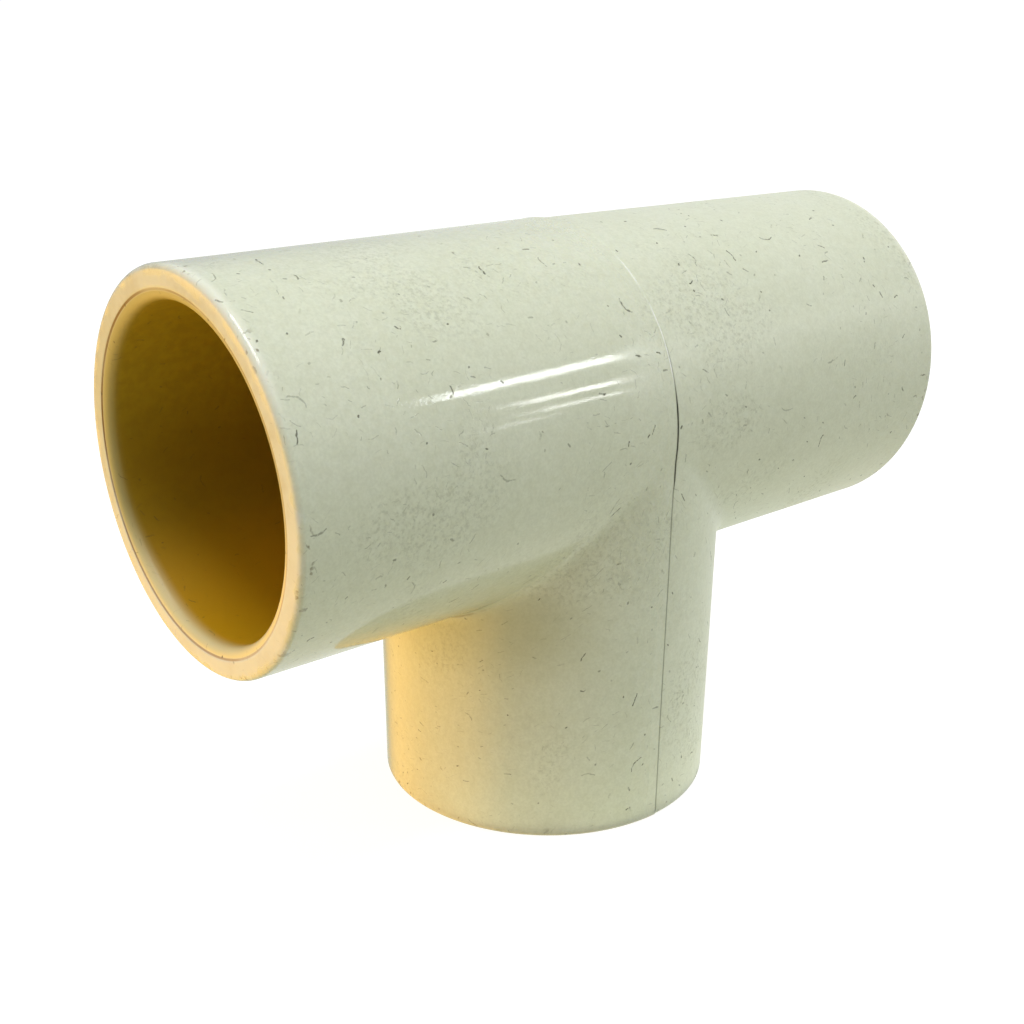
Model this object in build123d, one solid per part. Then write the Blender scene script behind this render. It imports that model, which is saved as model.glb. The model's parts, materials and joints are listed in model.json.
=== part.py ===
from build123d import *

import os

# Equal tee for solvent-welded 3/4 inch pipe (22.2 mm outside): three alike sockets that
# meet in one waterway. It was moulded in a tool that opens along the run, so its parting
# plane stands square to the run, through the branch's axis. The tee is the two half shells
# that meet on that plane, each with one whole run socket and half of the branch socket.
#
# Frame, in millimetres: the run lies along X, the branch points down, and the origin is
# the centre of the branch's end face, so the tee stands on Z = 0.

# Driving dimensions.
centre_to_end = 31.1  # from where the axes cross to each of the three end faces
seam_radius = 13.6  # outside of the run at the parting plane
mould_draft = 0.1  # how much smaller the run's radius is at its ends
socket_radius = 11.15  # a pipe socket, at the middle of its slight taper
socket_depth = 18.0  # from an end face to the pipe stop
waterway_radius = 9.3  # the bore between the pipe stops

# Edges.
outer_edge_round = 0.45  # outside edge of each end face
mouth_round = 0.72  # inside edge of each end face, which leads the pipe in
stop_round = 0.3  # inside edge of each pipe stop
crotch_round = 2.0  # outside, where the run meets the branch

# Parting line.
seam_step = 0.08  # how far the left half stands proud of the right half

end_radius = seam_radius - mould_draft
axis_height = centre_to_end  # the run's axis, above the branch's end face
stop_offset = centre_to_end - socket_depth  # from where the axes cross to a pipe stop
beyond = 4 * centre_to_end  # larger than the tee in every direction


def run_rod(side, extra):
    """Half of the run's outside, as a rod that tapers with the mould's draft.

    side is -1 or 1 along X, and extra is added to the radius at the parting plane only.
    """
    outline = Polyline(
        (0, 0, axis_height),
        (0, 0, axis_height + seam_radius + extra),
        (side * centre_to_end, 0, axis_height + end_radius),
        (side * centre_to_end, 0, axis_height),
        close=True,
    )
    return revolve(make_face(outline), axis=Axis((0, 0, axis_height), (1, 0, 0)))


def half_cylinder(side, radius, bottom, top):
    """The half of an upright cylinder that lies on one side of the parting plane."""
    rod = Pos(0, 0, (bottom + top) / 2) * Cylinder(radius, top - bottom)
    return rod & Pos(side * beyond / 2, 0, 0) * Box(beyond, beyond, beyond)


def run_bore(side, radius, start, end):
    """A bore along the run, between two distances from the parting plane."""
    middle = side * (start + end) / 2
    return Pos(middle, 0, axis_height) * Rot(0, 90, 0) * Cylinder(radius, end - start)


def from_run_axis(point):
    """A point's distance from the run's axis."""
    return (point.Y**2 + (point.Z - axis_height) ** 2) ** 0.5


def from_branch_axis(point):
    """A point's distance from the branch's axis."""
    return (point.X**2 + point.Y**2) ** 0.5


def is_crotch(edge):
    """True for the edge in the corner between the run's outside and the branch's."""
    middle = edge @ 0.5
    on_run = abs(from_run_axis(middle) - seam_radius) < 0.3
    on_branch = abs(from_branch_axis(middle) - end_radius) < 0.3
    return on_run and on_branch and abs(middle.X) > 1


def end_face_edges(body, side, radius):
    """The edges of one radius on the run's end face and on the branch's end face."""

    def has_radius(edge):
        middle = edge @ 0.5
        on_run_end = abs(middle.X - side * centre_to_end) < 0.01
        on_branch_end = abs(middle.Z) < 0.01 and abs(middle.X) > 0.01
        if on_run_end:
            return abs(from_run_axis(middle) - radius) < 0.2
        return on_branch_end and abs(from_branch_axis(middle) - radius) < 0.2

    return body.edges().filter_by(has_radius)


def pipe_stop_edges(body, side):
    """The inside edges of the run's pipe stop and of the branch's."""

    def at_stop(edge):
        middle = edge @ 0.5
        in_run = abs(middle.X - side * stop_offset) < 0.01
        in_branch = abs(middle.Z - socket_depth) < 0.01 and abs(middle.X) > 0.01
        if in_run:
            return abs(from_run_axis(middle) - waterway_radius) < 0.01
        return in_branch and abs(from_branch_axis(middle) - waterway_radius) < 0.01

    return body.edges().filter_by(at_stop)


def half_shell(side, extra):
    """One half of the tee: side is -1 or 1 along X, and it stands extra proud at the seam."""
    body = run_rod(side, extra) + half_cylinder(side, end_radius + extra, 0, axis_height)
    body = fillet(body.edges().filter_by(is_crotch), crotch_round)
    body = fillet(end_face_edges(body, side, end_radius), outer_edge_round)

    body -= run_bore(side, waterway_radius, 0, stop_offset)
    body -= half_cylinder(side, waterway_radius, socket_depth, axis_height)
    body -= run_bore(side, socket_radius, stop_offset, centre_to_end)
    body -= half_cylinder(side, socket_radius, 0, socket_depth)
    body = fillet(pipe_stop_edges(body, side), stop_round)
    return fillet(end_face_edges(body, side, socket_radius), mouth_round)


halves = {
    "left_half_shell": half_shell(-1, seam_step),
    "right_half_shell": half_shell(1, 0),
}

os.makedirs("parts", exist_ok=True)
for name, solid in halves.items():
    export_step(solid, f"parts/{name}.step")
    print(name, round(solid.volume), "mm3", "valid" if solid.is_valid else "NOT VALID")
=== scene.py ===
import json
import math

import bpy
import numpy as np
from mathutils import Matrix, Vector


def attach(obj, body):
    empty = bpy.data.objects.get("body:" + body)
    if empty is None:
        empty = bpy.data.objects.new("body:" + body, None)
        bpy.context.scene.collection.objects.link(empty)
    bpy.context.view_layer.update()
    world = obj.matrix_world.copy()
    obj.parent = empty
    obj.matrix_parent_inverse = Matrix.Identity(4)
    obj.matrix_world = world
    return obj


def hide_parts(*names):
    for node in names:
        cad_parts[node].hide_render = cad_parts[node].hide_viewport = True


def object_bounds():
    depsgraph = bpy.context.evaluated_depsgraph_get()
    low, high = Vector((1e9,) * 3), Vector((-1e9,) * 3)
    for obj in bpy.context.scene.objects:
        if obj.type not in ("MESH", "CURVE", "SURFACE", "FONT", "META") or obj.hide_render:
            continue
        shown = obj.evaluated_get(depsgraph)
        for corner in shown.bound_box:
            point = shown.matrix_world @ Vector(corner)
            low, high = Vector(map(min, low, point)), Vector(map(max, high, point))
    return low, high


# A cream socket tee in close-up. Its two half shells are rebuilt as fine meshes, with the
# parting line, the sockets' lips and the soft crotch as real shapes, and they get one
# aged-plastic material with scratches, fibres and scuffs.
# Lengths are in millimetres until a mesh, a lamp or an object is made, which is in metres.

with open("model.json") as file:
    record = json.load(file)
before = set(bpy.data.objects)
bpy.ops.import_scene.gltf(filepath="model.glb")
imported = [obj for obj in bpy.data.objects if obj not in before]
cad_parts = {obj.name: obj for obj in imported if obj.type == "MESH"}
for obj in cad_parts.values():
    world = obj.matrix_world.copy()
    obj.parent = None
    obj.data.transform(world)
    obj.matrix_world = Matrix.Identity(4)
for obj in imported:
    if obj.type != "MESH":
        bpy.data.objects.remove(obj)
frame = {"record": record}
cad_low, cad_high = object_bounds()

MM = 0.001
degree = math.pi / 180

# ---------------------------------------------------------------- sizes, from the frame
mounts = {m["name"]: m for m in frame["record"]["mounts"]}
axis_height = mounts["run_socket_left"]["pos_m"][2] / MM
socket_radius = mounts["run_socket_left"]["dims"]["r_mm"]
centre_to_end = cad_high.x / MM
seam_radius_left = cad_high.z / MM - axis_height

# Sizes that the frame doesn't give.
seam_step = 0.08  # how far the left half stands proud of the right half
mould_draft = 0.1  # how much smaller the run's radius is at its ends
socket_depth = 18.0
waterway_radius = 9.3
outer_edge_round = 0.45
mouth_round = 0.72
stop_round = 0.3
foot_round = 0.2  # corner at the foot of a socket
corner_round = 0.9  # the crotch's blend below the run, seen from the front
front_round = 3.0  # the same blend where it runs out at the parting line
inner_crotch_round = 0.4
socket_taper = 0.07  # the socket is this much wider at its mouth and narrower at its stop
lip_drop = 0.045  # how far the inner lip stands back from the flat rim
lip_ledge = 0.06  # width of the step from the flat rim down to the lip
settle_in = 0.006  # keeps the waviness and the seam's lip inside the nominal shape

seam_radius_right = seam_radius_left - seam_step
end_radius = seam_radius_right - mould_draft
stop_offset = centre_to_end - socket_depth
arm_reach = centre_to_end - outer_edge_round  # where an arm's outside starts to round off

# ---------------------------------------------------------------- grid of one half shell
OUTSIDE, OUTER_EDGE, RIM, LIP, SOCKET, STOP, WATERWAY = range(7)  # zones of the wall

# Fine steps away from the parting line or the crotch, then even ones of about this size.
SEAM_STEPS = [0, 0.03, 0.06, 0.1, 0.15, 0.21, 0.29, 0.4, 0.55, 0.75, 1.0, 1.3, 1.65]
OUTSIDE_STEP = 0.42
WATERWAY_STEPS = [0, 0.15, 0.35, 0.6, 0.9]
WATERWAY_STEP = 0.8

TOP_COLUMNS = 180  # over the run, from side line to side line
BOTTOM_COLUMNS = 170  # below the run, without the fine ones beside the side lines


def graded(fine, spacing, length):
    """Distances from 0 to length: the fine ones first, then evenly about spacing apart."""
    rest = length - fine[-1]
    count = max(1, round(rest / spacing))
    return np.concatenate([fine, fine[-1] + rest * np.arange(1, count + 1) / count])


def arc(centre_u, centre_r, radius, start, end, count):
    """Points of an arc in the wall's section, without its first point."""
    turn = np.radians(np.linspace(start, end, count + 1)[1:])
    return centre_u + radius * np.cos(turn), centre_r + radius * np.sin(turn)


def wall_section(rim_radius):
    """The wall's section from the outside edge round the rim to the pipe stop.

    Returns distances along the arm, radii and zones. Each stretch of it has only as many
    points as its curve needs.
    """
    u, r, zone = [], [], []

    def add(along, radius, number):
        u.extend(np.atleast_1d(along))
        r.extend(np.broadcast_to(radius, np.shape(np.atleast_1d(along))))
        zone.extend([number] * len(np.atleast_1d(along)))

    edge, end = outer_edge_round, centre_to_end
    mouth_radius = socket_radius + socket_taper
    foot_radius = socket_radius - socket_taper
    lip_radius = mouth_radius + mouth_round
    lip_end = end - lip_drop - mouth_round

    add(*arc(end - edge, rim_radius - edge, edge, 90, 0, 8), OUTER_EDGE)
    add(np.full(5, end), np.linspace(rim_radius - edge, lip_radius + lip_ledge, 6)[1:], RIM)
    add([end - lip_drop], [lip_radius + lip_ledge / 2], LIP)
    add(*arc(lip_end, lip_radius, mouth_round, 360, 270, 10), LIP)
    along = np.linspace(lip_end, stop_offset + foot_round, 26)[1:]
    share = (along - stop_offset) / socket_depth
    add(along, socket_radius + socket_taper * (2 * share - 1), SOCKET)
    foot_corner = arc(stop_offset + foot_round, foot_radius - foot_round, foot_round, 90, 180, 4)
    add(*foot_corner, STOP)
    stop_edge = waterway_radius + stop_round
    add([stop_offset] * 3, np.linspace(foot_radius - foot_round, stop_edge, 4)[1:], STOP)
    add(*arc(stop_offset - stop_round, stop_edge, stop_round, 0, -90, 5), STOP)
    return np.array(u), np.array(r), np.array(zone)


class Arm:
    """Grid of one arm: rows follow the wall's section and columns follow the angle.

    The outside starts where this arm meets the branch (or the parting plane), and the
    waterway ends there. Angles are counted from straight below, so both arms share them.
    """

    def __init__(self, angles, rim_radius):
        self.angles = angles
        below = np.maximum(np.cos(angles), 0)
        steps = graded(SEAM_STEPS, OUTSIDE_STEP, arm_reach)
        start = seam_radius_right * below
        outside = start + np.outer(steps, 1 - start / arm_reach)
        u, r, zone = wall_section(rim_radius)
        inner_reach = stop_offset - stop_round
        inner_steps = graded(WATERWAY_STEPS, WATERWAY_STEP, inner_reach)[::-1][1:]
        inner_start = waterway_radius * below
        inside = inner_start + np.outer(inner_steps, 1 - inner_start / inner_reach)
        columns = len(angles)
        self.along = np.vstack([outside, np.outer(u, np.ones(columns)), inside])
        self.radius = np.vstack(
            [
                np.full(outside.shape, rim_radius),
                np.outer(r, np.ones(columns)),
                np.full(inside.shape, waterway_radius),
            ]
        )
        self.zone = np.concatenate(
            [np.full(len(steps), OUTSIDE), zone, np.full(len(inner_steps), WATERWAY)]
        )


def column_angles():
    """Angles from the back side line over the top, the front and the bottom, in radians.

    The front side line is at 270 degrees, and the columns close up on both side lines.
    """
    top = np.radians(90 + 180 / TOP_COLUMNS * np.arange(TOP_COLUMNS))
    near = np.array(SEAM_STEPS[:-2]) / seam_radius_right
    wide = np.linspace(near[-1], math.pi - near[-1], BOTTOM_COLUMNS + 2)[1:-1]
    bottom = 270 * degree + np.concatenate([near, wide, math.pi - near[::-1]])
    return top, bottom


def smooth_union(p, run_radius, branch_radius, blend):
    """The tee's outside as a height above it, with the direction in which that grows.

    p is measured from where the axes cross. Below the run's axis the run and the branch
    blend like a fillet, which fades where their surfaces are tangent.
    """
    from_run = np.hypot(p[:, 1], p[:, 2])
    run = from_run - run_radius(np.abs(p[:, 0]))
    run_way = np.stack([0 * from_run, p[:, 1] / from_run, p[:, 2] / from_run], 1)
    from_branch = np.maximum(np.hypot(p[:, 0], p[:, 1]), 1e-6)
    branch = np.where(p[:, 2] < 0, from_branch - branch_radius, 1e3)
    branch_way = np.stack([p[:, 0] / from_branch, p[:, 1] / from_branch, 0 * from_branch], 1)
    width = blend(p) * (1 - np.sum(run_way * branch_way, 1)) + 1e-9
    share = np.clip(1 - np.abs(run - branch) / width, 0, 1)
    height = np.minimum(run, branch) - share**2 * width / 4
    of_branch = np.where(run < branch, share / 2, 1 - share / 2)[:, None]
    way = run_way * (1 - of_branch) + branch_way * of_branch
    return height, way, share


def settle(p, run_radius, branch_radius, blend):
    """Moves points onto the smooth union. Returns them, their normals and their share of the
    blend, which is 1 in the middle of the fillet.
    """
    for _ in range(10):
        height, way, share = smooth_union(p, run_radius, branch_radius, blend)
        p = p - (height / np.sum(way * way, 1))[:, None] * way
    return p, way / np.linalg.norm(way, axis=1)[:, None], share


# ---------------------------------------------------------------- surface irregularities
def waves(p, length, seed):
    """Smooth random heights of about -1 to 1, with bumps about length across."""
    source = np.random.default_rng(seed)
    total = np.zeros(len(p))
    for _ in range(10):
        way = source.normal(size=3)
        way *= 2 * math.pi / (length * np.linalg.norm(way)) * source.uniform(0.6, 1.5)
        total += np.cos(p @ way + source.uniform(0, 2 * math.pi))
    return total / 5


def waves_along(s, length, seed):
    """The same along a line."""
    return waves(np.stack([s, s * 0, s * 0], 1), length, seed)


def smoothstep(low, high, value):
    t = np.clip((value - low) / (high - low), 0, 1)
    return t * t * (3 - 2 * t)


def stretch(s, start, full, fade, end):
    """1 between full and fade, and softly down to 0 at start and end."""
    return smoothstep(start, full, s) * (1 - smoothstep(fade, end, s))


def seam_distance(p):
    """How far along the parting line a point lies from the top of the run, front or back.

    The line passes the run's axis at 21.4 and ends at the branch's mouth, at 52.5.
    """
    over = seam_radius_right * np.arctan2(np.abs(p[:, 1]), p[:, 2])
    return np.where(p[:, 2] > 0, over, seam_radius_right * math.pi / 2 - p[:, 2])


def seam_shape(p, side):
    """Height of the left half's lip and of both halves' share of the parting line's groove."""
    across = np.abs(p[:, 0])
    s = seam_distance(p)
    groove_depth = 0.06 + 0.05 * stretch(s, 19, 22, 25, 27)
    groove_width = 0.12 if side > 0 else 0.06
    groove = groove_depth * np.clip(1 - across / groove_width, 0, 1)
    if side > 0:
        return -groove
    lip_height, lip_place, lip_width = 0.045, 0.12, 0.07
    lip = lip_height * (0.55 + 0.45 * waves_along(s, 3.0, 21))
    lip *= smoothstep(0, 1.5, s) * (1 - 0.8 * smoothstep(15, 19, s))
    lip *= np.exp(-(((across - lip_place) / lip_width) ** 2))
    return lip - groove


def seam_dirt(p):
    """How dark the parting line is: clean at the top, black at the crotch, then thinner."""
    s = seam_distance(p)
    patchy = 0.9 + 0.1 * waves_along(s, 1.7, 5)
    thick = stretch(s, 17.0, 19.5, 24.0, 25.5)
    strength = smoothstep(13.5, 15.5, s) * (0.95 + 0.4 * thick)
    width = 0.062 + 0.028 * thick
    return strength * patchy * np.clip(1.8 - np.abs(p[:, 0]) / width, 0, 1)


def seam_glint(p):
    """How pale the parting line is: a painted highlight where the flash high on the run catches
    the light.
    """
    s = seam_distance(p)
    upper = 0.7 * stretch(s, 6.8, 8.2, 9.4, 10.6)
    lower = stretch(s, 11.4, 12.6, 16.2, 17.8)
    faint = 0.12 * (s < 14)
    broken = 0.75 + 0.25 * waves_along(s, 0.9, 6)
    glint_place, glint_width = -0.08, 0.06
    near = np.clip(1.8 - np.abs(p[:, 0] - glint_place) / glint_width, 0, 1)
    return (faint + 0.88 * np.maximum(upper, lower)) * broken * near


def seam_jog(p):
    """The parting line steps sideways where the run's cavity gives way to the branch's."""
    s = seam_distance(p)
    wander = 0.03 * waves_along(s, 9.0, 11) + 0.008 * waves_along(s, 1.6, 12)
    step = -0.1 * smoothstep(24.6, 25.1, s)
    reach = 2.5
    return (step + wander) * np.clip(1 - np.abs(p[:, 0]) / reach, 0, 1) ** 2


# ---------------------------------------------------------------- mesh of one half shell
def grid_points(run, branch):
    """Points of both arms of a half that lies along +X, measured from where the axes cross.

    Returns them with their zones, and each row's distance along the wall's section.
    """
    run_points = np.stack(
        [run.along, run.radius * np.sin(run.angles), -run.radius * np.cos(run.angles)], 2
    )
    branch_points = np.stack(
        [
            branch.radius * np.cos(branch.angles),
            branch.radius * np.sin(branch.angles),
            -branch.along,
        ],
        2,
    )
    points = np.concatenate([run_points.reshape(-1, 3), branch_points.reshape(-1, 3)])
    zones = np.concatenate([np.repeat(a.zone, len(a.angles)) for a in (run, branch)])
    section = np.linalg.norm(np.diff(run_points[:, 0], axis=0), axis=1)
    return points, zones, np.concatenate([[0], np.cumsum(section)])


def mould(points, zones, side, seam_radius, branch_rim):
    """Puts the grid's points on the tee, with its waviness and its parting line.

    Returns them, their depth in the crotch from 0 to 1, and their places on the nominal tee
    in its own left and right.
    """
    on_seam = np.abs(points[:, 0]) < 1e-6
    outside, inside = zones == OUTSIDE, zones == WATERWAY
    normals = np.zeros_like(points)
    crease = np.zeros(len(points))

    def run_radius(across):
        return seam_radius - (seam_radius - end_radius) * np.minimum(across / arm_reach, 1)

    def outside_blend(p):
        return corner_round + (front_round - corner_round) * (np.abs(p[:, 1]) / seam_radius) ** 3

    points[outside], normals[outside], crease[outside] = settle(
        points[outside], run_radius, branch_rim, outside_blend
    )
    crease *= 1 - smoothstep(0.45, 0.7, np.abs(points[:, 1]) / seam_radius)
    points[inside], _, _ = settle(
        points[inside],
        lambda across: waterway_radius,
        waterway_radius,
        lambda p: inner_crotch_round,
    )
    points[on_seam, 0] = 0

    placed = points * [side, 1, 1]
    height = 0.004 * waves(placed, 7.0, 3) + 0.001 * waves(placed, 2.2, 4)
    height = np.minimum(height, settle_in) - settle_in
    height += np.where(outside, seam_shape(placed, side), 0)
    points[outside] += (normals * height[:, None])[outside]

    # The sidestep keeps the branch's points at their distance from the branch's axis.
    around = np.hypot(points[:, 0], points[:, 1])
    points[:, 0] += side * seam_jog(placed)
    on_branch = outside & (points[:, 2] < 0)
    keep = around[on_branch] / np.hypot(points[on_branch, 0], points[on_branch, 1])
    points[on_branch, :2] *= keep[:, None]
    return points, crease, placed


def quads(index, across, down, order):
    """Four-sided faces of a grid of vertices, and their corners on the unrolled surface."""
    rows, columns = index.shape[0] - 1, index.shape[1] - 1
    unrolled = np.stack(np.broadcast_arrays(across, down), 2)
    picks = [(slice(i, rows + i), slice(j, columns + j)) for i, j in order]
    faces = np.stack([index[pick] for pick in picks], 2).reshape(-1, 4)
    corners = np.stack([unrolled[pick] for pick in picks], 2).reshape(-1, 4, 2)
    return list(faces), list(corners)


def seam_faces(run_index, branch_index, top_count):
    """The flat faces on the parting plane: over the run's top, then down both side walls."""
    faces = []
    for j in range(top_count):
        outer, inner = run_index[0, j : j + 2], run_index[-1, j : j + 2]
        faces.append(np.concatenate([outer, inner[::-1]]))
    faces.append(branch_index[::-1, 0])
    faces.append(branch_index[:, -1])
    return faces, [np.zeros((len(face), 2)) for face in faces]


def half_shell(name, side, seam_radius):
    """A closed mesh of one half of the tee. side is -1 for the left half, 1 for the right."""
    top, bottom = column_angles()
    angles = np.concatenate([top, bottom[:-1]])
    branch_rim = end_radius + (seam_radius - seam_radius_right)
    run = Arm(angles, end_radius)
    branch = Arm(bottom, branch_rim)
    points, zones, section = grid_points(run, branch)
    points, crease, placed = mould(points, zones, side, seam_radius, branch_rim)
    depth = section - section[np.argmax(run.zone == LIP)]
    depths = np.concatenate([np.repeat(depth, len(angles)), np.repeat(depth, len(bottom))])

    # Both arms share their first row, where they meet, and their last, in the waterway.
    rows = len(section)
    run_index = np.arange(rows * len(angles)).reshape(rows, -1)
    branch_index = run_index.size + np.arange(rows * len(bottom)).reshape(rows, -1)
    shared = np.append(np.arange(len(top), len(angles)), 0)
    branch_index[0] = run_index[0, shared]
    branch_index[-1] = run_index[-1, shared]

    along = side * section[:, None]
    turn = np.append(angles, angles[0] + 2 * math.pi) * seam_radius_right
    closed = np.hstack([run_index, run_index[:, :1]])
    loops, corners = quads(closed, along, turn, ((0, 0), (1, 0), (1, 1), (0, 1)))
    branch_turn = side * (bottom - 270 * degree) * seam_radius_right
    apart = 100  # keeps the branch away from the run on the unrolled surface
    branch_along = -section[:, None] - apart
    more, more_corners = quads(
        branch_index, branch_turn, branch_along, ((0, 0), (0, 1), (1, 1), (1, 0))
    )
    flat, flat_corners = seam_faces(run_index, branch_index, len(top))
    loops += more + flat
    corners += more_corners + flat_corners

    used = np.zeros(len(points), bool)
    used[np.concatenate(loops)] = True
    renumber = np.cumsum(used) - 1
    if side > 0:
        loops = [loop[::-1] for loop in loops]
        corners = [corner[::-1] for corner in corners]
    position = (points * [side, 1, 1] + [0, 0, axis_height])[used] * MM
    mesh = bpy.data.meshes.new(name)
    mesh.from_pydata(position.tolist(), [], [renumber[loop].tolist() for loop in loops])
    smooth = [True] * (len(loops) - len(flat)) + [False] * len(flat)
    mesh.polygons.foreach_set("use_smooth", smooth)
    unrolled = mesh.uv_layers.new(name="unrolled_mm")
    unrolled.data.foreach_set("uv", np.concatenate(corners).ravel())
    outside = zones == OUTSIDE
    add_layer(mesh, "depth_mm", depths[used])
    add_layer(mesh, "crease", crease[used])
    add_layer(mesh, "seam_dirt", np.where(outside, seam_dirt(placed), 0)[used])
    add_layer(mesh, "seam_glint", np.where(outside, seam_glint(placed), 0)[used])
    mesh.validate(clean_customdata=False)
    mesh.update()
    return bpy.data.objects.new(name, mesh)


def add_layer(mesh, name, values):
    """A number on every vertex, for the material to read."""
    layer = mesh.attributes.new(name, "FLOAT", "POINT")
    layer.data.foreach_set("value", values.astype(np.float32))


# ---------------------------------------------------------------- colours, in linear light
cream_dark = (0.64, 0.67, 0.51, 1)
cream_pale = (0.705, 0.73, 0.585, 1)
cream_grain = (0.46, 0.48, 0.33, 1)
cream_fine_grain = (0.36, 0.38, 0.26, 1)
cream_blotch = (0.50, 0.50, 0.33, 1)
# Painted highlight on the upper front of the outer edge.
highlight_cream = (0.84, 0.84, 0.72, 1)
peach_dark = (0.59, 0.64, 0.57, 1)
peach_pale = (0.66, 0.71, 0.66, 1)
# For the rim, darker towards the back.
peach_back = (0.33, 0.35, 0.21, 1)
peach_handled = (0.40, 0.37, 0.24, 1)
# Painted light low on the mouth. The lip's two khakis are its painted shade high up and its
# painted light low down.
peach_lit = (0.86, 0.88, 0.84, 1)
khaki_shaded = (0.41, 0.38, 0.16, 1)
khaki_lit = (0.82, 0.72, 0.38, 1)
# The socket's ambers are painted shade with warm light reflected round inside it. The paler low
# one is painted light on its lower wall.
amber_dark = (0.30, 0.19, 0.002, 1)
amber_pale = (0.34, 0.225, 0.004, 1)
amber_high = (0.50, 0.36, 0.014, 1)
amber_mottle = (0.24, 0.14, 0.004, 1)
amber_lit = (0.60, 0.335, 0.003, 1)
ring_high = (0.17, 0.09, 0.02, 1)
ring_low = (0.42, 0.24, 0.07, 1)
# Painted shade below the run.
corner_shade = (0.36, 0.35, 0.17, 1)
# Painted shade with patchy dirt in the crease.
crease_shade_and_dirt = (0.22, 0.15, 0.05, 1)
edge_grit = (0.16, 0.13, 0.07, 1)
scuff_grey = (0.30, 0.31, 0.22, 1)
mark_black = (0.05, 0.05, 0.022, 1)
seam_black = (0.02, 0.018, 0.008, 1)
# Painted highlight on the parting line.
seam_glint_white = (1.0, 1.0, 0.97, 1)


# ---------------------------------------------------------------- node trees
class Nodes:
    """A few short ways to write a node tree."""

    def __init__(self, tree):
        self.tree = tree

    def add(self, kind, values=None, **settings):
        node = self.tree.nodes.new(kind)
        for key, value in settings.items():
            setattr(node, key, value)
        for key, value in (values or {}).items():
            self.feed(node.inputs[key], value)
        return node

    def feed(self, socket, value):
        if isinstance(value, bpy.types.NodeSocket):
            self.tree.links.new(value, socket)
        else:
            socket.default_value = value

    def math(self, operation, a, b=0.0):
        return self.add("ShaderNodeMath", {0: a, 1: b}, operation=operation).outputs[0]

    def sum(self, first, *others):
        for other in others:
            first = self.math("ADD", first, other)
        return first

    def product(self, first, *others):
        for other in others:
            first = self.math("MULTIPLY", first, other)
        return first

    def largest(self, first, *others):
        for other in others:
            first = self.math("MAXIMUM", first, other)
        return first

    def ramp(self, value, low, high, to_low=0.0, to_high=1.0):
        """value from low to high as a smooth step between two numbers."""
        node = self.add(
            "ShaderNodeMapRange",
            {
                "Value": value,
                "From Min": low,
                "From Max": high,
                "To Min": to_low,
                "To Max": to_high,
            },
            interpolation_type="SMOOTHSTEP",
        )
        return node.outputs["Result"]

    def near(self, value, centre, close, far, most=1.0):
        """most where value is within close of centre, and softly down to 0 at far."""
        away = self.math("ABSOLUTE", self.math("SUBTRACT", value, centre))
        return self.ramp(away, close, far, most, 0.0)

    def noise(self, vector, scale, detail=2.0, roughness=0.5):
        node = self.add(
            "ShaderNodeTexNoise",
            {"Vector": vector, "Scale": scale, "Detail": detail, "Roughness": roughness},
        )
        return node.outputs["Fac"]

    def mix(self, share, a, b):
        node = self.add("ShaderNodeMix", data_type="RGBA")
        self.feed(node.inputs[0], share)
        self.feed(node.inputs[6], a)
        self.feed(node.inputs[7], b)
        return node.outputs[2]

    def vector(self, operation, a, b):
        return self.add("ShaderNodeVectorMath", {0: a, 1: b}, operation=operation).outputs[0]

    def dot(self, a, b):
        node = self.add("ShaderNodeVectorMath", {0: a, 1: b}, operation="DOT_PRODUCT")
        return node.outputs["Value"]


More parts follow.
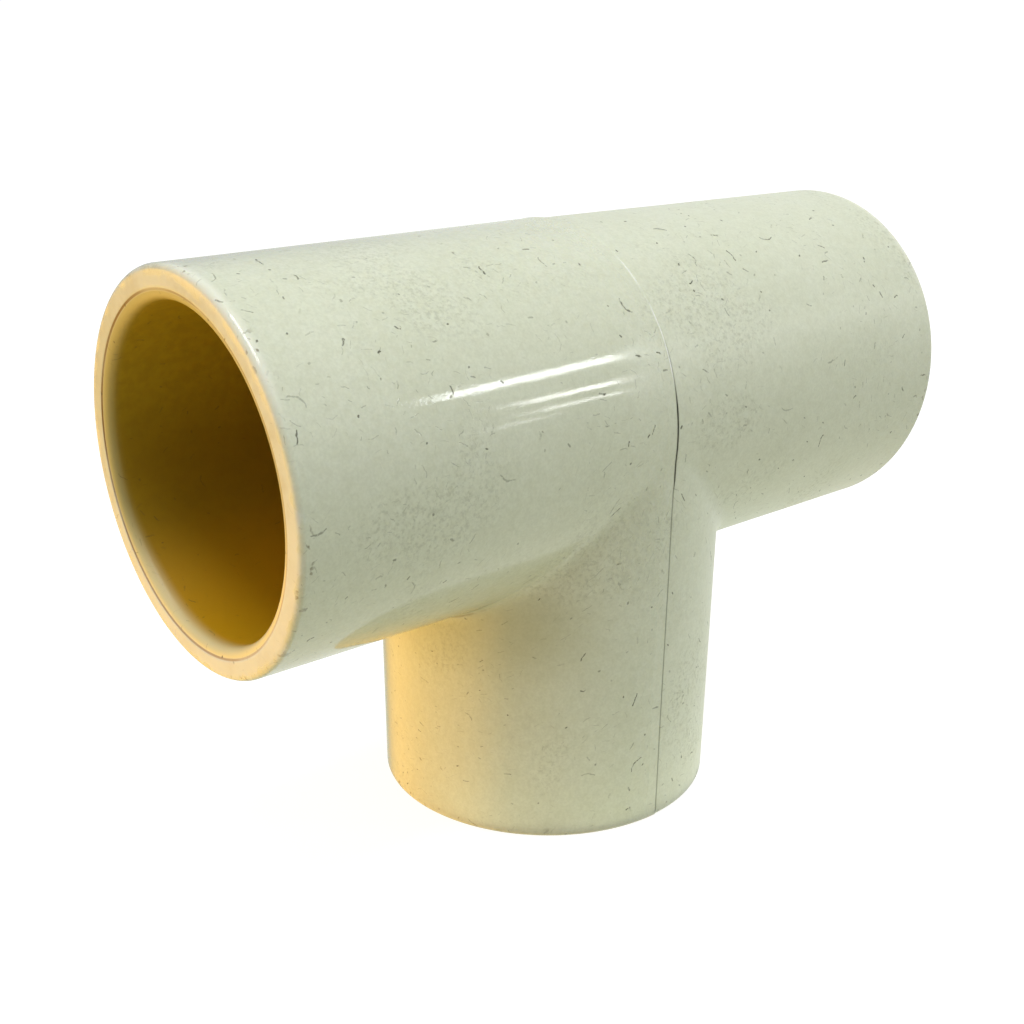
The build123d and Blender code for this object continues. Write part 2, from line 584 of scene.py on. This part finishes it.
class Plastic(Nodes):
    """The aged plastic's node tree, with what its parts share. Its lengths are millimetres."""

    def __init__(self, tree):
        super().__init__(tree)
        metres = self.add("ShaderNodeTexCoord").outputs["Object"]
        self.place = self.vector("MULTIPLY", metres, (1 / MM, 1 / MM, 1 / MM))
        axes = self.add("ShaderNodeSeparateXYZ", {0: self.place})
        self.x, self.height = axes.outputs[0], axes.outputs[2]
        self.unrolled = self.add("ShaderNodeUVMap", uv_map="unrolled_mm").outputs[0]
        self.depth = self.layer("depth_mm")

    def layer(self, name):
        return self.add("ShaderNodeAttribute", attribute_name=name).outputs["Fac"]

    def cloud(self, scale, detail=2.0, roughness=0.5):
        """Noise with about scale bumps to a millimetre."""
        return self.noise(self.place, scale, detail, roughness)

    def spot(self, start, end, width):
        """A mark round a line between two points, as a mask from 0 to 1."""
        total = 0.0
        for point in (start, end):
            away = self.add(
                "ShaderNodeVectorMath", {0: self.place, 1: point}, operation="DISTANCE"
            )
            total = self.math("ADD", total, away.outputs["Value"])
        length = math.dist(start, end)
        widest = math.hypot(length, width)
        return self.ramp(total, (length + widest) / 2, widest, 1.0, 0.0)

    def strokes(self, place, cell, density, half_length, width, bend, shift):
        """Short curved strokes, at most one to a cell, as a mask from 0 to 1.

        Each stroke has its own size and strength.
        """
        moved = self.vector("ADD", place, (shift, shift * 0.7, 0))
        cells = self.add(
            "ShaderNodeTexVoronoi",
            {"Vector": moved, "Scale": 1 / cell, "Randomness": 0.8},
            voronoi_dimensions="2D",
            feature="F1",
        )
        away = self.vector("SUBTRACT", moved, cells.outputs["Position"])
        chance = self.add("ShaderNodeSeparateColor", {0: cells.outputs["Color"]})
        strong, angle, size = chance.outputs[0], chance.outputs[1], chance.outputs[2]
        angle = self.product(angle, 2 * math.pi)
        turned = self.add(
            "ShaderNodeVectorRotate", {"Vector": away, "Angle": angle}, rotation_type="Z_AXIS"
        ).outputs[0]
        axes = self.add("ShaderNodeSeparateXYZ", {0: turned})
        along = self.math("ABSOLUTE", axes.outputs[0])
        curve = self.product(self.math("SUBTRACT", size, 0.5), bend / half_length)
        off = self.math("SUBTRACT", axes.outputs[1], self.product(along, along, curve))
        reach = self.ramp(size, 0, 1, half_length * 0.2, half_length)
        past = self.largest(self.math("SUBTRACT", along, reach), 0)
        squares = self.sum(self.math("POWER", off, 2.0), self.math("POWER", past, 2.0))
        line = self.ramp(self.math("SQRT", squares), width * 0.35, width, 1.0, 0.0)
        strength = self.ramp(strong, 0, density, 1.0, 0.35)
        present = self.math("LESS_THAN", strong, density)
        return self.product(line, strength, present)


# ---------------------------------------------------------------- material
RUBBED_PATCH = (2.5, -13.5, 30.9), (8.5, -13.4, 31.6), 4.5  # right of the parting line


def all_marks(n):
    """Dust fibres, short scratches and specks, as a mask. They are fainter in the sockets."""
    wobble = n.add("ShaderNodeTexNoise", {"Vector": n.unrolled, "Scale": 1.6, "Detail": 2.0})
    shaken = n.vector("SUBTRACT", wobble.outputs["Color"], (0.5, 0.5, 0.5))
    bent = n.vector("ADD", n.unrolled, n.vector("MULTIPLY", shaken, (0.4, 0.4, 0.0)))
    broken = n.ramp(n.noise(n.unrolled, 5.0, 2), 0.34, 0.50, 0.3, 1.0)
    patches = n.ramp(n.noise(n.unrolled, 0.11, 2), 0.42, 0.60)

    hairs = n.strokes(
        bent, cell=4.6, density=0.36, half_length=0.62, width=0.075, bend=0.9, shift=3
    )
    short = n.strokes(
        bent, cell=2.0, density=0.30, half_length=0.26, width=0.085, bend=0.3, shift=11
    )
    faint = n.strokes(
        bent, cell=0.8, density=0.5, half_length=0.36, width=0.045, bend=0.3, shift=23
    )
    specks = n.strokes(
        bent, cell=2.2, density=0.26, half_length=0.06, width=0.10, bend=0, shift=37
    )
    marks = n.largest(
        n.product(hairs, broken),
        n.product(short, broken, n.ramp(patches, 0, 1, 0.35, 1.0)),
        n.product(faint, broken, patches, 0.40),
        n.product(specks, 0.9),
    )
    fainter_inside = n.ramp(n.depth, 1.0, 3.0, 1.0, 0.4)
    return n.product(marks, fainter_inside)


def body_colour(n):
    """Cream, a little uneven and with a fine grain."""
    colour = n.mix(n.cloud(0.11, 3), cream_dark, cream_pale)
    grain = n.ramp(n.cloud(1.9, 3, 0.6), 0.35, 0.7, 0.0, 0.17)
    colour = n.mix(grain, colour, cream_grain)
    fine_grain = n.ramp(n.cloud(5.2), 0.3, 0.7, 0.0, 0.14)
    colour = n.mix(fine_grain, colour, cream_fine_grain)
    blotches = n.ramp(n.cloud(0.8), 0.42, 0.62, 0.0, 0.08)
    return n.mix(blotches, colour, cream_blotch)


def socket_colour(n, colour):
    """Peach on the rims, khaki on the lips and amber inside, over the body's colour. The khaki
    and the amber are painted shade, paler where painted light falls low on the mouth, and the
    upper outer edge has a painted highlight.

    Returns the colour and where it has taken the body's place.
    """
    ragged = n.sum(n.depth, n.ramp(n.cloud(0.42, 3, 0.6), 0.3, 0.7, -0.45, 0.45))
    # Painted highlight: the upper front of the outer edge is paler, and the rim's colour starts
    # further in there.
    highlight_zone = n.ramp(n.dot(n.place, (0, -1, 1)), 41.5, 46.5)
    highlight_zone = n.product(highlight_zone, n.ramp(n.height, 36, 40))
    edge = n.math("SUBTRACT", ragged, n.product(highlight_zone, 0.35))
    on_rim = n.ramp(edge, -1.65, -0.95)
    # 1 low on the mouth. It carries the painted light there and the witness ring's browner tone.
    low = n.ramp(n.dot(n.place, (0, 0.3, 1)), 31, 23)

    peach = n.mix(n.cloud(0.5, 3), peach_dark, peach_pale)
    # The rim is darker towards the back.
    back_of_rim = n.ramp(n.dot(n.place, (0, 1, 0.4)), 21.9, 25.9, 0.0, 0.3)
    peach = n.mix(back_of_rim, peach, peach_back)
    handled = n.ramp(n.cloud(0.33, 4, 0.65), 0.42, 0.68, 0.0, 0.3)
    peach = n.mix(handled, peach, peach_handled)
    # Painted light: the rim is paler low down on the mouth.
    peach = n.mix(n.product(low, 0.4), peach, peach_lit)
    # The lip: painted shade high up, where it faces down, and painted light low down, where it
    # faces up.
    khaki = n.mix(low, khaki_shaded, khaki_lit)
    colour = n.mix(on_rim, colour, n.mix(n.ramp(n.depth, -0.02, 0.2), peach, khaki))
    # The painted highlight itself, in a pale cream.
    edge_highlight = n.product(highlight_zone, n.near(n.depth, -1.45, 0.2, 0.9, 0.55))
    colour = n.mix(edge_highlight, colour, highlight_cream)

    # The socket's amber is painted shade and warm reflected light, over the body's cream.
    amber = n.mix(n.cloud(0.14, 3), amber_dark, amber_pale)
    amber = n.mix(n.ramp(n.height, 28, 37), amber, amber_high)
    amber = n.mix(n.ramp(n.cloud(1.3, 3, 0.6), 0.3, 0.7, 0.0, 0.25), amber, amber_mottle)
    # Painted light: the lower wall inside the mouth is paler and warmer, where light from above
    # falls in.
    amber = n.mix(n.ramp(n.height, 26.5, 19.5), amber, amber_lit)
    # The lit lip reaches further in low down, as part of the same painted light.
    past_lip = n.math("SUBTRACT", n.depth, n.product(low, 0.35))
    colour = n.mix(n.ramp(past_lip, 0.1, 1.5), colour, amber)

    ring = n.product(
        n.near(n.depth, 0, 0.05, 0.13),
        n.ramp(n.cloud(0.12), 0.35, 0.55, 0.5, 0.95),
        n.ramp(low, 0, 1, 1.0, 0.75),
    )
    return n.mix(ring, colour, n.mix(low, ring_high, ring_low)), on_rim


def shade_and_grime_colour(n, colour):
    """Painted shade in the corner below the run, painted shade with patchy dirt in the crease,
    and grit round the rims.
    """
    # Painted shade in the corner below the run, on the left half.
    corner = n.product(
        n.ramp(n.height, 11.5, 17.5),
        n.ramp(n.depth, -9.0, -12.0),
        n.ramp(n.height, 21.5, 18.5),
        n.ramp(n.x, -3.5, -10.5, 0.0, 0.40),
    )
    colour = n.mix(corner, colour, corner_shade)
    # The crease: painted shade with patchy dirt in it.
    crease = n.product(
        n.ramp(n.layer("crease"), 0.7, 1.0),
        n.ramp(n.cloud(0.9, 3), 0.35, 0.65, 0.05, 0.55),
    )
    colour = n.mix(crease, colour, crease_shade_and_dirt)
    grit = n.product(
        n.near(n.depth, -1.75, 0.25, 0.8),
        n.ramp(n.cloud(1.5), 0.60, 0.68),
        n.ramp(n.cloud(0.16), 0.45, 0.6),
        0.7,
    )
    return n.mix(grit, colour, edge_grit)


def aged_plastic():
    """Cream pipe plastic, glossy but handled: scuffs, dust fibres and a dirty parting line."""
    material = bpy.data.materials.new("aged_cream_plastic")
    material.use_nodes = True
    n = Plastic(material.node_tree)
    shader = material.node_tree.nodes["Principled BSDF"]

    worn = n.ramp(n.cloud(0.085), 0.50, 0.66)
    worn = n.largest(worn, n.spot(*RUBBED_PATCH))
    colour, on_rim = socket_colour(n, body_colour(n))
    scuffed = n.product(
        worn, n.ramp(n.cloud(3.2, 3, 0.7), 0.46, 0.68), n.math("SUBTRACT", 1.0, on_rim)
    )
    marks = all_marks(n)
    dirt = n.layer("seam_dirt")

    colour = shade_and_grime_colour(n, colour)
    colour = n.mix(n.product(scuffed, 0.32), colour, scuff_grey)
    colour = n.mix(n.product(marks, 0.95), colour, mark_black)
    colour = n.mix(dirt, colour, seam_black)
    # Painted highlight along the parting line high on the run.
    colour = n.mix(n.layer("seam_glint"), colour, seam_glint_white)
    n.feed(shader.inputs["Base Color"], colour)

    # Sharp gloss on the left half, duller on the right, and matt on rims, scuffs and marks.
    glossy, dull = 0.05, 0.30
    roughness = n.sum(
        n.ramp(n.x, -7, 1, glossy, dull),
        n.product(scuffed, 0.20),
        n.product(n.cloud(0.9, 3), 0.03),
        n.product(n.largest(marks, dirt, on_rim), 0.38),
    )
    n.feed(shader.inputs["Roughness"], roughness)

    height = n.sum(
        n.product(n.cloud(1.3), 0.12),
        n.product(n.cloud(4.6), 0.24),
        n.product(scuffed, -0.2),
        n.product(marks, -0.6),
    )
    bump = n.add("ShaderNodeBump", {"Height": height, "Strength": 0.45, "Distance": 0.03 * MM})
    n.feed(shader.inputs["Normal"], bump.outputs[0])
    shader.inputs["IOR"].default_value = 1.5
    shader.inputs["Subsurface Weight"].default_value = 0.15
    shader.inputs["Subsurface Radius"].default_value = (1.0, 0.75, 0.35)
    shader.inputs["Subsurface Scale"].default_value = 0.8 * MM
    return material


# ---------------------------------------------------------------- the two half shells
plastic = aged_plastic()
for node, side, radius in (
    ("left_half_shell", -1, seam_radius_left),
    ("right_half_shell", 1, seam_radius_right),
):
    piece = half_shell(node + "_moulding", side, radius)
    bpy.context.scene.collection.objects.link(piece)
    piece.data.materials.append(plastic)
    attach(piece, "root")
    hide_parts(node)


# ---------------------------------------------------------------- stage
def stage_bowl(floor_radius=0.8, bend_start=1.6, bend=1.0, steep=80, steps=16, sides=96):
    """A floor in metres that curves up into a wall all round, so that no horizon shows."""
    profile = [(0.0, 0.0), (floor_radius, 0.0)]
    for step in range(steps + 1):
        turn = steep * degree * step / steps
        profile.append((bend_start + bend * math.sin(turn), bend * (1 - math.cos(turn))))
    vertices, faces = [], []
    for r, z in profile:
        for k in range(sides):
            turn = 2 * math.pi * k / sides
            vertices.append((r * math.cos(turn), r * math.sin(turn), z))
    for i in range(len(profile) - 1):
        for k in range(sides):
            m = (k + 1) % sides
            faces.append((i * sides + k, i * sides + m, (i + 1) * sides + m, (i + 1) * sides + k))
    mesh = bpy.data.meshes.new("stage")
    mesh.from_pydata(vertices, [], faces)
    mesh.polygons.foreach_set("use_smooth", [True] * len(faces))
    return bpy.data.objects.new("stage", mesh)


def stage_material():
    """White paper that glows a little, so that the tee's shadow on it stays faint."""
    material = bpy.data.materials.new("white_paper")
    material.use_nodes = True
    shader = material.node_tree.nodes["Principled BSDF"]
    shader.inputs["Base Color"].default_value = (0.3, 0.3, 0.3, 1)
    shader.inputs["Roughness"].default_value = 1.0
    shader.inputs["Specular IOR Level"].default_value = 0.0
    shader.inputs["Emission Color"].default_value = (1, 1, 1, 1)
    shader.inputs["Emission Strength"].default_value = 0.86
    return material


stage = stage_bowl()
stage.data.materials.append(stage_material())
bpy.context.scene.collection.objects.link(stage)
stage.visible_diffuse = False  # the dome lights the tee from below, not the white paper
stage.visible_glossy = False


# ---------------------------------------------------------------- light
def direction(azimuth, elevation):
    """Azimuth 0 is in front of the tee, along -Y, and 90 is to the right, along +X."""
    a, e = azimuth * degree, elevation * degree
    return Vector((math.sin(a) * math.cos(e), -math.cos(a) * math.cos(e), math.sin(e)))


dome_below = (0.50, 0.515, 0.37, 1)
dome_level = (0.36, 0.36, 0.42, 1)
dome_overhead = (0.66, 0.68, 0.67, 1)
dome_right = (1.05, 1.09, 0.98, 1)
dome_warm = (3.3, 1.95, 0.5, 1)


def studio_world():
    """A soft dome: brightest overhead, and warm from the left as beside a wooden wall."""
    world = bpy.data.worlds.new("studio")
    world.use_nodes = True
    n = Nodes(world.node_tree)
    way = n.add("ShaderNodeTexCoord").outputs["Generated"]
    upward = n.add("ShaderNodeSeparateXYZ", {0: way}).outputs[2]
    colour = n.mix(n.ramp(upward, -0.3, 0.1), dome_below, dome_level)
    colour = n.mix(n.ramp(upward, 0.1, 1.0), colour, dome_overhead)
    to_right = n.ramp(n.dot(way, direction(95, -25)), 0.3, 0.9)
    colour = n.mix(to_right, colour, dome_right)
    to_left = n.ramp(n.dot(way, direction(-130, -22)), 0.46, 1.0)
    to_left = n.product(to_left, n.ramp(upward, 0.15, -0.1))
    colour = n.mix(to_left, colour, dome_warm)
    n.feed(world.node_tree.nodes["Background"].inputs["Color"], colour)
    bpy.context.scene.world = world


def area_light(name, width, height, radiance, colour):
    """A rectangular lamp of a given size and glow, which the camera doesn't see."""
    data = bpy.data.lights.new(name, "AREA")
    data.shape = "RECTANGLE"
    data.size, data.size_y = width * MM, height * MM
    data.energy = radiance * math.pi * data.size * data.size_y
    data.color = colour
    lamp = bpy.data.objects.new(name, data)
    lamp.visible_camera = False
    bpy.context.scene.collection.objects.link(lamp)
    return lamp


def strip_light(name, start, end, height, radiance, colour=(1, 1, 1)):
    """A strip lamp between two points, which faces the tee's middle."""
    start, end = Vector(start), Vector(end)
    along = (end - start).normalized()
    middle = (start + end) / 2
    toward = Vector((0, 0, axis_height)) - middle
    toward = (toward - along * toward.dot(along)).normalized()
    across = (-toward).cross(along)
    lamp = area_light(name, (end - start).length, height, radiance, colour)
    lamp.matrix_world = Matrix.Translation(middle * MM) @ Matrix(
        (along, across, -toward)
    ).transposed().to_4x4()


def table_light(azimuth):
    """A lamp on the floor beside the branch, as the light that a pale table returns."""
    lamp = area_light(f"table_glow_{azimuth}", 13.5, 10, 0.56, (1.0, 1.0, 0.78))
    beside = direction(azimuth, 0) * (end_radius + 5.5) + Vector((0, 0, 0.5))
    lamp.location = beside * MM
    lamp.rotation_euler = (math.pi, 0, azimuth * degree)
    lamp.visible_glossy = False


bpy.context.scene.view_settings.view_transform = "Standard"
studio_world()

# Each lamp's two ends, its height, its radiance and its colour where it isn't white.
strip_light("softbox", (-200, -60, 560), (100, -60, 560), 300, 6.5)
strip_light("blind_wide", (266, -352, 265), (336, -303, 257), 24, 17, (0.95, 0.98, 1.0))
strip_light("blind_middle", (296, -376, 180), (339, -349, 173), 11, 18)
strip_light("blind_low", (302, -387, 138), (336, -365, 132), 7, 15)
strip_light("blind_lowest", (282, -406, 110), (304, -392, 109), 4, 12)
for azimuth in (-60, -20, 20, 60):
    table_light(azimuth)
strip_light("window_right", (389, -280, 222), (436, -240, 208), 60, 3.0)

# ---------------------------------------------------------------- camera
camera_place = Vector((-68.99, -76.72, 57.97))
camera_azimuth, camera_elevation, camera_roll = -40.402, 24.819, 0.235

camera_data = bpy.data.cameras.new("camera")
camera = bpy.data.objects.new("camera", camera_data)
camera_back = direction(camera_azimuth, camera_elevation)
level = direction(camera_azimuth + 90, 0)
upright = camera_back.cross(level)
roll = camera_roll * degree
camera_right = level * math.cos(roll) + upright * math.sin(roll)
camera_up = upright * math.cos(roll) - level * math.sin(roll)
camera.matrix_world = Matrix.Translation(camera_place * MM) @ Matrix(
    (camera_right, camera_up, camera_back)
).transposed().to_4x4()
camera_data.sensor_width = 36
camera_data.lens = 47.57
camera_data.shift_y = 0.13
camera_data.clip_start = 0.005
camera_data.clip_end = 20
bpy.context.scene.collection.objects.link(camera)
bpy.context.scene.camera = camera
